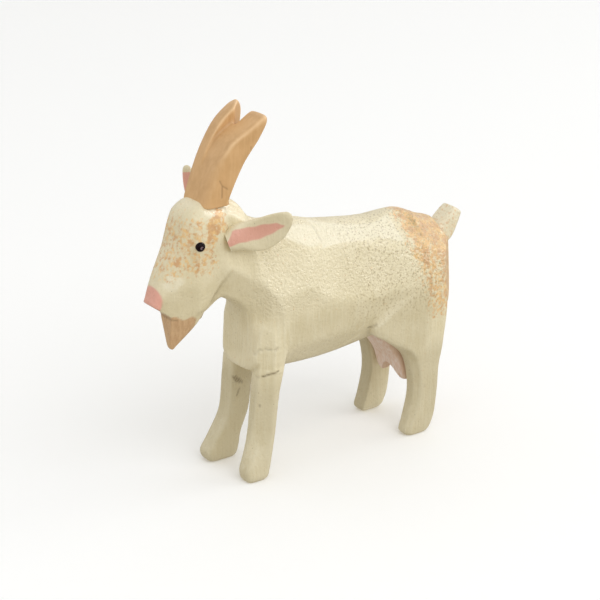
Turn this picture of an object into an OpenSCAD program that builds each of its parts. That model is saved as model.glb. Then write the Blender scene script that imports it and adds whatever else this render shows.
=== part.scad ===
// Carved and painted wooden goat, put together from a body block and glued-on pieces.
// It stands on Z = 0 and looks along -X, with its own left side at -Y. Sizes are in millimetres.

/* [Stance] */
// Distance between the fore and the hind foot centres
wheelbase = 46; // [38:0.5:56]
// Height of the flat seats under the body that the legs are glued to
seat_height = 26; // [21:0.5:32]
// Distance between the two foreleg centres
fore_track = 14.4; // [13.6:0.2:15.4]
// Distance between the two hind leg centres
hind_track = 18; // [17.6:0.2:19]

/* [Trunk] */
// Depth of the trunk from the leg seats to the back
trunk_depth = 29.6; // [24:0.2:36]
// Width over the ribs
rib_width = 23; // [19:0.2:28]
// Width over the shoulders
shoulder_width = 21.6; // [20.8:0.2:26]
// Width over the haunches
haunch_width = 24.4; // [24:0.2:29]
// How far the breast stands before the foreleg line
breast_reach = 0; // [-0.6:0.2:3]
// How far the rump stands behind the hind leg line
rump_reach = 15; // [13:0.2:19]
// How far the belly hangs below the leg seats
belly_drop = 2; // [0.6:0.2:3]
// Rise of the withers above the back
withers_rise = 4.2; // [2:0.2:5.6]

/* [Neck and head] */
// Rise of the poll, the back edge of the crown, above the back
poll_rise = 11.4; // [9:0.2:14]
// Width of the neck
neck_width = 14.6; // [13.4:0.2:18]
// Width of the head over the cheeks
head_width = 12.8; // [12:0.2:16]
// Width of the muzzle
muzzle_width = 7.6; // [6:0.2:10]
// Length of the crown from the poll to the brow
crown_length = 14; // [12.6:0.2:17]
// How far the nose stands before the poll
nose_reach = 22.2; // [20:0.2:27]
// How far the nose lies below the poll
nose_drop = 19; // [16:0.2:22]
// How far the throat lies below the poll
throat_drop = 22.8; // [21:0.2:26]
// How far the mouth cut lies below the poll
mouth_drop = 24; // [22:0.2:27]
// How far the mouth cut is set in from the nose
mouth_depth = 4; // [2:0.2:5]
// Length of the beard below the mouth cut
beard_length = 8.6; // [7:0.2:12]

/* [Legs] */
// Width of every leg at its shank
shank_width = 4.8; // [4.6:0.2:6]
// Depth of a foreleg at its shank, front to back
fore_shank = 5.5; // [5:0.1:7]
// Depth of a hind leg at its shank, front to back
hind_shank = 6.9; // [6.4:0.1:8.8]
// Length of the left forefoot
left_forefoot = 6.6; // [6.4:0.2:10]
// Length of the right forefoot, carved a little longer
right_forefoot = 8.2; // [6.4:0.2:10]
// How far the left foreleg is set back from its foot
left_foreleg_set = 0.8; // [0:0.2:2.4]
// How far the right foreleg is set back from its foot
right_foreleg_set = 1.8; // [0:0.2:2.6]
// Length of a hind foot
hindfoot = 8.2; // [7:0.2:10]

/* [Horns] */
// Height of the horns above the crown
horn_height = 19.5; // [15:0.5:24]
// How far the tips are swept back from the foot of the horns
horn_sweep = 13; // [9:0.5:17]
// Depth of the horn block, front to back
horn_depth = 7; // [6:0.2:9]
// Width of the horn block at its foot
horn_width = 9.8; // [8:0.2:10.8]
// Width over the two tips
horn_spread = 11.8; // [9:0.2:14]
// How far the left horn ends below the right one
left_horn_drop = 2; // [1.4:0.1:4]
// How far right of the middle the two horns part
horn_parting = 1.3; // [0.4:0.1:2]
// Opening angle of the groove that parts the horns at the back
back_groove_angle = 42; // [34:1:56]
// Depth that the horn block is let into the crown
horn_housing = 2.4; // [2:0.1:3.4]

/* [Ears] */
// Length of an ear from its seat to its tip
ear_length = 15.2; // [12:0.2:18]
// Width of the left ear at its broadest
left_ear_width = 7.6; // [6:0.2:9]
// Width of the right ear at its broadest
right_ear_width = 6.4; // [5.6:0.2:8]
// Thickness of an ear
ear_thickness = 2.6; // [2:0.1:3.6]
// Depth of the hollow carved into the front of an ear
ear_hollow = 1.3; // [0.4:0.1:1.8]
// Diameter of an ear where it meets its seat
ear_root = 4.6; // [4:0.2:5.6]
// Diameter of the round foot that plugs an ear into the head
ear_foot = 2.8; // [2:0.1:3.4]
// Length of that foot
ear_foot_length = 3.4; // [2:0.2:4]
// How far the left ear is swept back from straight out
left_ear_back = 58; // [40:1:70]
// How far the left ear is raised
left_ear_up = 20; // [0:1:40]
// How far the left ear bends below a straight line
left_ear_sag = 1; // [0:0.1:1.6]
// How far the right ear is swept back from straight out
right_ear_back = -4; // [-10:1:40]
// How far the right ear is raised
right_ear_up = 64; // [30:1:68]
// How far the right ear bends below a straight line
right_ear_sag = 0; // [0:0.1:1.6]

/* [Tail] */
// Length of the bent part of the tail, from its straight root to its tip
tail_length = 5.6; // [3.6:0.2:8]
// Width of the tail
tail_width = 5.8; // [4.6:0.2:7.6]
// Depth of the tail at its seat
tail_root = 5.6; // [5:0.2:7]
// Depth of the tail at its cut end
tail_end = 3.2; // [3:0.1:4.6]
// Angle of the tail above level
tail_rise = 53; // [35:1:62]
// Length of the straight root of the tail, about half of it let into the rump
tail_housing = 2.6; // [2.2:0.1:3.6]

/* [Udder] */
// How far the teats hang below the belly
udder_drop = 13.6; // [10:0.2:17]
// Width over the two teats
udder_width = 11.2; // [8.4:0.2:11.6]
// Length of the udder where it is glued to the belly
udder_length = 14; // [11:0.5:16]
// Height of the notch between the two teats
teat_notch = 3.4; // [1:0.2:5]

/* [Eyes] */
// Diameter of the domed eye
eye_diameter = 2.2; // [1.6:0.1:2.6]
// Height of the dome
eye_dome = 0.7; // [0.4:0.1:1.2]
// Diameter of the pin behind the eye
eye_pin = 0.8; // [0.6:0.1:1]
// Length of that pin
eye_pin_length = 3.2; // [2:0.2:4]

/* [Joinery] */
// Diameter of the four leg dowels
leg_dowel = 3; // [2:0.1:3.4]
// Length of a leg dowel, half in the leg and half in the body
leg_dowel_length = 14; // [8:0.5:20]
// Diameter of the dowels of the horns, the tail and the udder
small_dowel = 2; // [1.6:0.1:2.4]
// Length of a small dowel, half in each piece
small_dowel_length = 7; // [5:0.5:8]
// Room for glue round a dowel or a piece that is let in
glue_gap = 0.05; // [0.02:0.01:0.1]

/* [Hidden] */
$fn = 48;

cream = [0.86, 0.81, 0.66];
horn_tan = [0.80, 0.64, 0.43];
udder_pink = [0.80, 0.64, 0.58];
eye_black = [0.07, 0.05, 0.05];
bare_wood = [0.83, 0.69, 0.48];

fore_x = -wheelbase / 2;
hind_x = wheelbase / 2;
seat_z = seat_height;
back_z = seat_height + trunk_depth;
breast_x = fore_x - breast_reach;
rump_x = hind_x + rump_reach;
half_ribs = rib_width / 2;
half_shoulder = shoulder_width / 2;
half_haunch = haunch_width / 2;
half_head = head_width / 2;
half_muzzle = muzzle_width / 2;

// Landmarks of the head in the middle plane, as [x, z]
poll = [fore_x + 0.6, back_z + poll_rise];
brow = poll + [-crown_length, 0];
nose = poll + [-nose_reach, -nose_drop];
throat = poll + [-4, -throat_drop];
mouth = [nose.x + mouth_depth, poll.y - mouth_drop];
// The front of the beard leans back by this share of its height
beard_lean = 0.06;
beard_tip = mouth + [1, -beard_length];

// Lofting

// Value between two others
function mix(a, b, t) = a + (b - a) * t;

// Row of a list at a fractional place, on a smooth curve through the rows
function smooth_row(list, place) = let (
        i = min(floor(place), len(list) - 2), t = place - i,
        a = list[max(i - 1, 0)], b = list[i], c = list[i + 1], d = list[min(i + 2, len(list) - 1)])
    b + 0.5 * t * ((c - a) + t * ((2 * a - 5 * b + 4 * c - d) + t * (3 * (b - c) + d - a)));

function signed_power(v, power) = sign(v) * pow(abs(v), power);

// A rib runs from a top point to an under point in the middle plane and swells to both sides.
// Its row is [top x, top z, under x, under z, half width, height of the widest point as a share,
// roundness above that point, roundness below it]. Roundness 1 is an ellipse and 0 a square.
// The angle runs from the top over the right side to the under point.
function rib_point(row, angle) = let (
        top = [row[0], row[1]], under = [row[2], row[3]], widest = mix(under, top, row[5]),
        above = cos(angle) >= 0,
        power = above ? row[6] : row[7],
        p = widest + (above ? top - widest : widest - under) * signed_power(cos(angle), power))
    [p.x, row[4] * signed_power(sin(angle), power), p.y];
function rib_ring(row, sides) = [for (i = [0:sides - 1]) rib_point(row, 360 * i / sides)];
function rib_rings(rows, steps, sides) =
    [for (i = [0:(len(rows) - 1) * steps]) rib_ring(smooth_row(rows, i / steps), sides)];

// A level section of a leg or the udder.
// Its row is [height, front x, back x, inner y, outer y, roundness].
function level_ring(row, sides) = [for (i = [0:sides - 1]) let (angle = 360 * i / sides)
    [mix(row[1], row[2], 0.5) + (row[2] - row[1]) / 2 * signed_power(cos(angle), row[5]),
     mix(row[3], row[4], 0.5) + (row[4] - row[3]) / 2 * signed_power(sin(angle), row[5]),
     row[0]]];
function level_rings(rows, first, last, steps, sides) =
    [for (i = [first * steps:last * steps]) level_ring(smooth_row(rows, i / steps), sides)];

// Closed skin over rings with equal numbers of points
module skin(rings) {
    sides = len(rings[0]);
    last = len(rings) - 1;
    walls = [for (r = [0:last - 1], s = [0:sides - 1]) let (
            a = r * sides + s, b = r * sides + (s + 1) % sides, c = b + sides, d = a + sides)
        each [[a, c, b], [a, d, c]]];
    ends = [[for (s = [0:sides - 1]) s], [for (s = [sides - 1:-1:0]) last * sides + s]];
    polyhedron([for (ring = rings) each ring], concat(walls, ends), convexity = 8);
}

// Outline of a piece that is let into another, half sizes along X and Y
function oval(half_x, half_y, roundness, sides) = [for (i = [0:sides - 1]) let (angle = 360 * i / sides)
    [half_x * signed_power(cos(angle), roundness), half_y * signed_power(sin(angle), roundness)]];

module dowel(diameter, length) color(bare_wood) cylinder(d = diameter, h = length, center = true);
module dowel_hole(diameter, length)
    cylinder(d = diameter + 2 * glue_gap, h = length + 2 * glue_gap, center = true);
module left_side() mirror([0, 1, 0]) children();

// Turns +Z to a direction and moves to a point
module aimed(point, direction)
    translate(point)
        rotate([0, acos(direction.z / norm(direction)), atan2(direction.y, direction.x)])
            children();

// Body block: trunk, neck, head and beard, with the roots of the legs

// The flat seats are planed this far into the underside
seat_cut = 0.5;
under_z = seat_z - seat_cut;
withers_z = back_z + withers_rise;
trunk_ribs = [
    [rump_x, back_z - 9, rump_x - 0.6, seat_z + 8, 0.28 * half_haunch, 0.5, 0.9, 0.9],
    [rump_x - 0.7, back_z - 6.6, rump_x - 1.5, seat_z + 4, 0.52 * half_haunch, 0.5, 0.9, 0.9],
    [rump_x - 2.6, back_z - 4.6, rump_x - 3.2, seat_z + 1, 0.74 * half_haunch, 0.48, 0.9, 0.9],
    [rump_x - 7, back_z - 3, rump_x - 7, under_z, 0.95 * half_haunch, 0.47, 0.95, 0.9],
    [hind_x + 1, back_z - 0.2, hind_x + 1, under_z, 0.98 * half_haunch, 0.46, 1, 0.9],
    [hind_x - 8, back_z - 0.3, hind_x - 9, under_z, half_ribs, 0.46, 1, 0.95],
    [hind_x - 22, back_z + 1.7, hind_x - 23, seat_z - belly_drop, half_ribs, 0.47, 1, 0.95],
    [fore_x + 14, withers_z + 0.3, fore_x + 11, seat_z - 0.8 * belly_drop, half_ribs, 0.45, 1, 0.9],
    [fore_x + 9.6, withers_z + 0.5, fore_x + 6.4, under_z, half_shoulder, 0.42, 1, 0.8],
    [fore_x + 7, withers_z + 1, fore_x + 1.4, seat_z - 0.4, 0.95 * half_shoulder, 0.4, 1, 0.85],
    [fore_x + 5, withers_z + 1.8, breast_x + 2.7, seat_z + 5, 0.79 * half_shoulder, 0.4, 0.95, 1],
    [fore_x + 2.8, mix(back_z, poll.y, 0.66), breast_x + 3.3, mix(seat_z, throat.y, 0.7), neck_width / 2,
        0.45, 0.85, 0.95]
];
head_ribs = [
    [poll.x - 0.6, poll.y - 0.3, throat.x, throat.y, half_head, 0.5, 0.7, 1.05],
    [mix(poll.x, brow.x, 0.5), poll.y + 1.8, mix(throat.x, beard_tip.x, 0.14),
        mix(throat.y, beard_tip.y, 0.1), half_head, 0.55, 0.5, 1.15],
    [brow.x + 0.2, brow.y - 0.4, mix(throat.x, beard_tip.x, 0.34), mix(throat.y, beard_tip.y, 0.34),
        0.96 * half_head, 0.62, 0.6, 1.1],
    [mix(brow.x, nose.x, 0.33), mix(brow.y, nose.y, 0.4), mix(throat.x, beard_tip.x, 0.64),
        mix(throat.y, beard_tip.y, 0.64), mix(half_head, half_muzzle, 0.4), 0.64, 0.7, 0.95],
    [mix(brow.x, nose.x, 0.83), mix(brow.y, nose.y, 0.78), mix(throat.x, beard_tip.x, 0.9),
        mix(throat.y, beard_tip.y, 0.92), half_muzzle, 0.66, 0.7, 0.95],
    [nose.x, nose.y, beard_tip.x, beard_tip.y, 0.94 * half_muzzle, 0.7, 0.7, 0.75],
    [nose.x - 0.5, nose.y - 1.4, mouth.x - 0.4, mouth.y - 6, 0.86 * half_muzzle, 0.7, 0.7, 0.6],
    [nose.x + 0.1, nose.y - 2.6, mouth.x - 1.6, mouth.y - 2, 0.6 * half_muzzle, 0.6, 0.7, 0.7]
];
body_ribs = concat(trunk_ribs, head_ribs);
// Places of the poll and the brow in the list of ribs
poll_place = len(trunk_ribs);
brow_place = poll_place + 2;

// Point of the skin on the right side, and the direction straight out of it
function skin_point(place, angle) = rib_point(smooth_row(body_ribs, place), angle);
function skin_out(place, angle) = let (
        along = skin_point(place + 0.05, angle) - skin_point(place - 0.05, angle),
        around = skin_point(place, angle + 1) - skin_point(place, angle - 1),
        out = cross(around, along))
    out / norm(out);

// Lands under the body, planed flat for the legs and the udder
fore_land = [breast_x - 2, fore_x + 11];
hind_land = [hind_x - 9, rump_x + 2];
module leg_lands() {
    land_h = seat_cut + belly_drop + 1;
    for (span = [fore_land, hind_land])
        translate([span[0], -haunch_width, seat_z - land_h])
            cube([span[1] - span[0], 2 * haunch_width, land_h]);
}

// Cut below the lip that sets the beard back from the muzzle
module mouth_cut() {
    reach = 2 * beard_length;
    half_open = muzzle_width;
    translate([mouth.x, half_open, mouth.y])
        rotate([90, 0, 0])
            linear_extrude(2 * half_open)
                polygon([[0, 0], [-reach, 0.75 * reach], [-reach, -reach], [beard_lean * reach, -reach]]);
}

// The leg roots swell out of the trunk, which is then brought to its width
overall_width = max(haunch_width, rib_width, shoulder_width);
module carved_block() resize([0, overall_width, 0]) difference() {
    union() {
        skin(rib_rings(body_ribs, 4, 36));
        foreleg_root(right_forefoot, right_foreleg_set);
        left_side() foreleg_root(left_forefoot, left_foreleg_set);
        for (side = [0, 1])
            mirror([0, side, 0])
                skin(level_rings(hindleg_rows, hindleg_seat, len(hindleg_rows) - 1, 3, 24));
    }
    leg_lands();
    mouth_cut();
    left_side() ear_bed(left_ear_back, left_ear_up, left_ear_width, left_ear_sag);
    ear_bed(right_ear_back, right_ear_up, right_ear_width, right_ear_sag);
}
module foreleg_root(foot, set) let (rows = foreleg_rows(foot, set))
    skin(level_rings(rows, foreleg_seat, len(rows) - 1, 3, 24));

module body() color(cream) difference() {
    carved_block();
    translate(fore_dowel_at(right_foreleg_set)) dowel_hole(leg_dowel, leg_dowel_length);
    left_side() translate(fore_dowel_at(left_foreleg_set)) dowel_hole(leg_dowel, leg_dowel_length);
    for (side = [0, 1])
        mirror([0, side, 0]) {
            translate(hind_dowel_at) dowel_hole(leg_dowel, leg_dowel_length);
            eye_socket();
        }
    left_side() ear_socket(left_ear_back, left_ear_up);
    ear_socket(right_ear_back, right_ear_up);
    horn_socket();
    tail_socket();
    translate(udder_dowel_at) dowel_hole(small_dowel, small_dowel_length);
}

// Legs, from the sole to the seat and on into the body as its swelling root

fore_in = fore_track / 2 - shank_width / 2;
fore_out = fore_track / 2 + shank_width / 2;
foreleg_seat = 5;
function foreleg_rows(foot, set) = let (
        toe = fore_x + 4.6 - foot, heel = fore_x + 0.9 + 0.45 * foot, front = fore_x + set) [
    [0, toe + 0.4, heel, fore_in + 0.3, fore_out - 0.3, 0.38],
    [1.8, toe, heel + 0.6, fore_in, fore_out, 0.38],
    [6, mix(toe, front, 0.5), heel + 1.4, fore_in, fore_out, 0.38],
    [12, front, front + fore_shank, fore_in, fore_out, 0.38],
    [mix(12, seat_z, 0.6), front + 1, front + fore_shank + 1.1, fore_in - 0.4, fore_out + 0.1, 0.42],
    [seat_z, front + 1.5, front + fore_shank + 2.6, fore_in - 1, half_shoulder - 0.8, 0.5],
    [seat_z + 6, front + 2.6, front + fore_shank + 3, fore_in - 1, half_shoulder - 0.3, 0.6],
    [seat_z + 12, front + 3.4, front + fore_shank + 2.4, fore_in - 1, half_shoulder - 0.4, 0.7],
    [seat_z + 18, front + 4.6, front + fore_shank + 1.2, fore_in - 1, half_shoulder - 2.2, 0.8]
];

hind_in = hind_track / 2 - shank_width / 2;
hind_out = hind_track / 2 + shank_width / 2;
hindleg_seat = 6;
hindleg_rows = [
    [0, hind_x + 5.4 - hindfoot, hind_x + 4.3, hind_in + 0.3, hind_out - 0.3, 0.38],
    [1.6, hind_x + 5.8 - hindfoot, hind_x + 5.1, hind_in, hind_out, 0.38],
    [5, hind_x - 1.4, hind_x + 6.2, hind_in, hind_out, 0.38],
    [11, hind_x - 0.1, hind_x + hind_shank, hind_in, hind_out, 0.38],
    [17, hind_x - 0.8, hind_x + 7.3, hind_in, hind_out, 0.4],
    [mix(17, seat_z, 0.53), hind_x - 3, hind_x + 8.2, hind_in, mix(hind_out, half_haunch, 0.4), 0.45],
    [seat_z, hind_x - 8, hind_x + 8.6, hind_in, half_haunch - 0.2, 0.45],
    [seat_z + 4.5, hind_x - 13.6, hind_x + 9.2, hind_in, half_haunch, 0.5],
    [seat_z + 11, hind_x - 11, hind_x + 9.8, hind_in, half_haunch, 0.6],
    [seat_z + 17, hind_x - 5, hind_x + 9, hind_in, half_haunch - 0.9, 0.75],
    [seat_z + 22, hind_x, hind_x + 6, hind_in, half_haunch - 3.6, 0.9]
];

function fore_dowel_at(set) = [fore_x + set + fore_shank / 2 + 1, fore_track / 2, seat_z];
hind_dowel_at = [hind_x + hind_shank / 2, hind_track / 2, seat_z];

module foreleg(foot, set) color(cream) difference() {
    skin(level_rings(foreleg_rows(foot, set), 0, foreleg_seat, 3, 24));
    translate(fore_dowel_at(set)) dowel_hole(leg_dowel, leg_dowel_length);
}
module hindleg() color(cream) difference() {
    skin(level_rings(hindleg_rows, 0, hindleg_seat, 3, 24));
    translate(hind_dowel_at) dowel_hole(leg_dowel, leg_dowel_length);
}
module foreleg_right() foreleg(right_forefoot, right_foreleg_set);
module foreleg_left() left_side() foreleg(left_forefoot, left_foreleg_set);
module hindleg_right() hindleg();
module hindleg_left() left_side() hindleg();
module foreleg_dowel(set) translate(fore_dowel_at(set)) dowel(leg_dowel, leg_dowel_length);
module foreleg_dowel_right() foreleg_dowel(right_foreleg_set);
module foreleg_dowel_left() left_side() foreleg_dowel(left_foreleg_set);
module hindleg_dowel_right() translate(hind_dowel_at) dowel(leg_dowel, leg_dowel_length);
module hindleg_dowel_left() left_side() hindleg_dowel_right();

// Horns: one block that is swept back and tapered. Its left half is cut down to a lower front, which
// leaves a step beside the right horn, and a groove at the back parts the two tips.

crown_z = poll.y + 1.6;
horn_base_z = crown_z - horn_housing;
horn_foot_x = poll.x - 0.48 * crown_length;
horn_front = horn_foot_x - horn_depth / 2;
horn_back = horn_foot_x + horn_depth / 2;
horn_roundness = 0.34;
horn_sides = 28;
horn_ribs = [
    [horn_back, crown_z, horn_front, crown_z, horn_width / 2, 0.5, horn_roundness, horn_roundness],
    [horn_back + 0.27 * horn_sweep, crown_z + 0.36 * horn_height,
        horn_front + 0.28 * horn_sweep, crown_z + 0.44 * horn_height,
        mix(horn_width, horn_spread, 0.4) / 2, 0.5, 0.34, 0.34],
    [horn_back + 0.6 * horn_sweep, crown_z + 0.64 * horn_height,
        horn_front + 0.6 * horn_sweep, crown_z + 0.77 * horn_height,
        mix(horn_width, horn_spread, 0.75) / 2, 0.5, 0.36, 0.36],
    [horn_back + 0.76 * horn_sweep, crown_z + 0.82 * horn_height,
        horn_front + 0.91 * horn_sweep, crown_z + 0.94 * horn_height,
        horn_spread / 2, 0.5, 0.5, 0.5],
    [horn_back + 0.71 * horn_sweep, crown_z + 0.9 * horn_height,
        horn_foot_x + 0.82 * horn_sweep, crown_z + horn_height,
        0.46 * horn_spread, 0.5, 0.7, 0.7]
];
horn_dowel_at = [horn_foot_x, 0, horn_base_z];

// Front of the left horn from below its foot to its rounded tip, as shares of the sweep and its height
left_horn_front = [for (p = [[0.11, 0.27], [0.22, 0.39], [0.32, 0.51], [0.43, 0.62], [0.53, 0.71],
        [0.69, 0.79], [0.89, 0.87], [1.06, 0.95], [1.19, 1], [1.28, 0.98], [1.33, 0.91]])
    [horn_front + p[0] * horn_sweep, crown_z + p[1] * (horn_height - left_horn_drop)]];
// All that lies before and above that front, on the left of the step
module left_horn_cut() {
    last = len(left_horn_front) - 1;
    clear = horn_height;
    translate([0, horn_parting, 0])
        rotate([90, 0, 0])
            linear_extrude(horn_spread)
                polygon(concat([for (i = [0:2 * last]) smooth_row(left_horn_front, i / 2)],
                    [left_horn_front[last] + [clear, 0], left_horn_front[last] + [clear, clear],
                     left_horn_front[0] + [-clear, 2 * clear], left_horn_front[0] + [-clear, 0]]));
}
// The groove at the back is upright. Its left wall runs straight back and its right wall slants.
parting_x = horn_back + 0.33 * horn_sweep;
module back_groove() {
    clear = 2 * horn_depth;
    translate([parting_x, 0.3 * horn_parting, crown_z])
        linear_extrude(horn_height + 1)
            polygon([[0, 0], [clear, 0], [clear, clear * tan(back_groove_angle)]]);
}
module horns() color(horn_tan) difference() {
    foot = rib_ring(horn_ribs[0], horn_sides);
    skin(concat([[for (p = foot) [p.x, p.y, horn_base_z]]], rib_rings(horn_ribs, 4, horn_sides)));
    left_horn_cut();
    back_groove();
    translate(horn_dowel_at) dowel_hole(small_dowel, small_dowel_length);
}
module horn_dowel() translate(horn_dowel_at) dowel(small_dowel, small_dowel_length);
module horn_socket() {
    translate([horn_foot_x, 0, horn_base_z])
        linear_extrude(horn_housing + horn_height)
            polygon(oval(horn_depth / 2 + glue_gap, horn_width / 2 + glue_gap, horn_roundness, horn_sides));
    translate(horn_dowel_at) dowel_hole(small_dowel, small_dowel_length);
}

// Ears: a hollowed leaf on a round root, seated in a flat-bottomed round recess in the cheek

ear_place = poll_place + 0.45;
ear_angle = 84;
ear_inset = 1.4;
// Its row is [distance from the seat, half width, half thickness, hollow, share of the sag].
// The leaf grows by the room round it, which is none for the ear itself.
function ear_rows(width, room) = [
    [0, ear_root / 2 + room, ear_root / 2 + room, 0, 0],
    [0.17 * ear_length, ear_root / 2 + room, 0.42 * ear_root + room, 0.1 * ear_hollow, 0],
    [0.45 * ear_length, width / 2 + room, ear_thickness / 2 + room, ear_hollow, 1],
    [0.75 * ear_length, 0.84 * width / 2 + room, 0.42 * ear_thickness + room, 0.8 * ear_hollow, 0.7],
    [0.94 * ear_length, 0.46 * width / 2 + room, 0.3 * ear_thickness + room, 0.2 * ear_hollow, -0.1],
    [ear_length, 0.16 * width / 2 + room, 0.12 * ear_thickness + room, 0, -0.4]
];
function ear_ring(row, sag, sides) = [for (i = [0:sides - 1]) let (angle = -360 * i / sides)
    [row[0],
     row[2] * sin(angle) - row[3] * pow(max(0, sin(angle)), 2),
     row[1] * cos(angle) - sag * row[4]]];
module ear_leaf(width, sag, room)
    skin([for (i = [0:15]) ear_ring(smooth_row(ear_rows(width, room), i / 3), sag, 24)]);

// Stands on the right cheek, with X along the ear and Y out of its hollow front
module at_ear(back, up) {
    root = skin_point(ear_place, ear_angle);
    translate(root)
        rotate([0, -up, 90 - back])
            translate([-ear_inset, 0, 0])
                children();
}
module ear(back, up, width, sag) color(cream) at_ear(back, up) {
    ear_leaf(width, sag, 0);
    rotate([0, 90, 0])
        translate([0, 0, -ear_foot_length])
            cylinder(d = ear_foot, h = ear_foot_length + 1);
}
// The cheek is pared away where an ear leans against it
module ear_bed(back, up, width, sag) at_ear(back, up) ear_leaf(width, sag, 3 * glue_gap);
module ear_socket(back, up) at_ear(back, up) rotate([0, 90, 0]) {
    cylinder(d = ear_root + 4 * glue_gap, h = ear_root);
    translate([0, 0, -ear_foot_length - glue_gap])
        cylinder(d = ear_foot + 2 * glue_gap, h = ear_foot_length + 1);
}
module ear_right() ear(right_ear_back, right_ear_up, right_ear_width, right_ear_sag);
module ear_left() left_side() ear(left_ear_back, left_ear_up, left_ear_width, left_ear_sag);

// Tail: a stub with a flat cut end, let into the rump

tail_at = [rump_x + 0.7, 0, back_z - 8];
tail_root_lean = tail_rise - 18;
tail_sides = 24;
tail_roundness = 0.55;
function tail_row(centre, depth, lean, width, roundness) = let (up = [-sin(lean), cos(lean)] * depth / 2)
    [centre.x + up.x, centre.y + up.y, centre.x - up.x, centre.y - up.y, width / 2, 0.5,
        roundness, roundness];
function tail_centre(share) =
    [tail_at.x, tail_at.z] + share * tail_length * [cos(tail_rise), sin(tail_rise)];
tail_rows = [
    tail_row(tail_centre(1), 0.86 * tail_end, tail_rise, 0.76 * tail_width, 0.7),
    tail_row(tail_centre(0.9), tail_end, tail_rise - 2, 0.9 * tail_width, 0.6),
    tail_row(tail_centre(0.45), mix(tail_root, tail_end, 0.5), tail_rise - 9, tail_width, 0.55),
    tail_row(tail_centre(0), tail_root, tail_root_lean, tail_width, tail_roundness)
];
tail_in = tail_housing * [cos(tail_root_lean), 0, sin(tail_root_lean)];
tail_dowel_along = [cos(tail_rise), 0, sin(tail_rise)];
tail_dowel_at = tail_at - tail_in;
module tail() color(cream) difference() {
    seat = rib_ring(tail_rows[3], tail_sides);
    skin(concat(rib_rings(tail_rows, 3, tail_sides), [[for (p = seat) p - tail_in]]));
    aimed(tail_dowel_at, tail_dowel_along) dowel_hole(small_dowel, small_dowel_length);
}
module tail_dowel() aimed(tail_dowel_at, tail_dowel_along) dowel(small_dowel, small_dowel_length);
module tail_socket() {
    aimed(tail_at - tail_in, tail_in)
        linear_extrude(2 * tail_housing + tail_length)
            polygon(oval(tail_root / 2 + glue_gap, tail_width / 2 + glue_gap, tail_roundness, tail_sides));
    aimed(tail_dowel_at, tail_dowel_along) dowel_hole(small_dowel, small_dowel_length);
}

// Udder: a tapered block with an arched notch between the two teats

half_udder = udder_width / 2;
udder_back = hind_x + 7.4;
teat_z = seat_z - udder_drop;
udder_rows = [
    [teat_z, hind_x + 0.8, hind_x + 2.8, -0.88 * half_udder, 0.88 * half_udder, 0.7],
    [teat_z + 1.6, hind_x, hind_x + 4, -half_udder, half_udder, 0.65],
    [mix(teat_z, seat_z, 0.42), hind_x - 1.4, hind_x + 5, -half_udder, half_udder, 0.55],
    [mix(teat_z, seat_z, 0.72), mix(hind_x - 1.4, udder_back - udder_length, 0.55), hind_x + 6.4,
        -half_udder, half_udder, 0.6],
    [seat_z, udder_back - udder_length, udder_back, -half_udder, half_udder, 0.6]
];
udder_dowel_at = [mix(udder_back - udder_length, udder_back, 0.62), 0, seat_z];
arch_half = 0.62 * half_udder;
module teat_arch() {
    translate([udder_back - udder_length, 0, teat_z + teat_notch])
        rotate([90, 0, 90])
            linear_extrude(udder_length + 1)
                polygon([for (s = [-1.44:0.12:1.45]) [s * arch_half, -teat_notch * s * s]]);
}
module udder() color(udder_pink) difference() {
    skin(level_rings(udder_rows, 0, len(udder_rows) - 1, 3, 24));
    teat_arch();
    translate(udder_dowel_at) dowel_hole(small_dowel, small_dowel_length);
}
module udder_dowel() translate(udder_dowel_at) dowel(small_dowel, small_dowel_length);

// Eyes: pins with a domed head in a shallow recess

eye_place = brow_place + 0.04;
eye_angle = 82.5;
eye_rim = 0.4;
module at_eye() aimed(skin_point(eye_place, eye_angle), skin_out(eye_place, eye_angle)) children();
module eye() color(eye_black) at_eye() {
    rotate_extrude() polygon(concat([[0, -eye_rim], [eye_diameter / 2, -eye_rim]],
        [for (a = [0:6:90]) [eye_diameter / 2 * cos(a), eye_dome * sin(a)]]));
    translate([0, 0, -eye_rim - eye_pin_length]) cylinder(d = eye_pin, h = eye_pin_length + eye_rim / 2);
}
module eye_socket() at_eye() {
    translate([0, 0, -eye_rim]) cylinder(d = eye_diameter + 2 * glue_gap, h = eye_rim + eye_dome);
    translate([0, 0, -eye_rim - eye_pin_length - glue_gap])
        cylinder(d = eye_pin + 2 * glue_gap, h = eye_pin_length + eye_rim);
}
module eye_right() eye();
module eye_left() left_side() eye();

// The finished figure is centred over its ground on the length from the nose tip to the end of the tail
nose_tip_x = nose.x - 0.5;
tail_tip_x = tail_centre(1).x + 0.43 * tail_end * sin(tail_rise);
centre_x = (nose_tip_x + tail_tip_x) / 2;
module in_frame() translate([-centre_x, 0, 0]) children();

in_frame() body();
in_frame() foreleg_left();
in_frame() foreleg_right();
in_frame() hindleg_left();
in_frame() hindleg_right();
in_frame() foreleg_dowel_left();
in_frame() foreleg_dowel_right();
in_frame() hindleg_dowel_left();
in_frame() hindleg_dowel_right();
in_frame() horns();
in_frame() horn_dowel();
in_frame() ear_left();
in_frame() ear_right();
in_frame() tail();
in_frame() tail_dowel();
in_frame() udder();
in_frame() udder_dowel();
in_frame() eye_left();
in_frame() eye_right();
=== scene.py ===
import bmesh
import bpy
import numpy as np
from mathutils import Matrix


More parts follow.
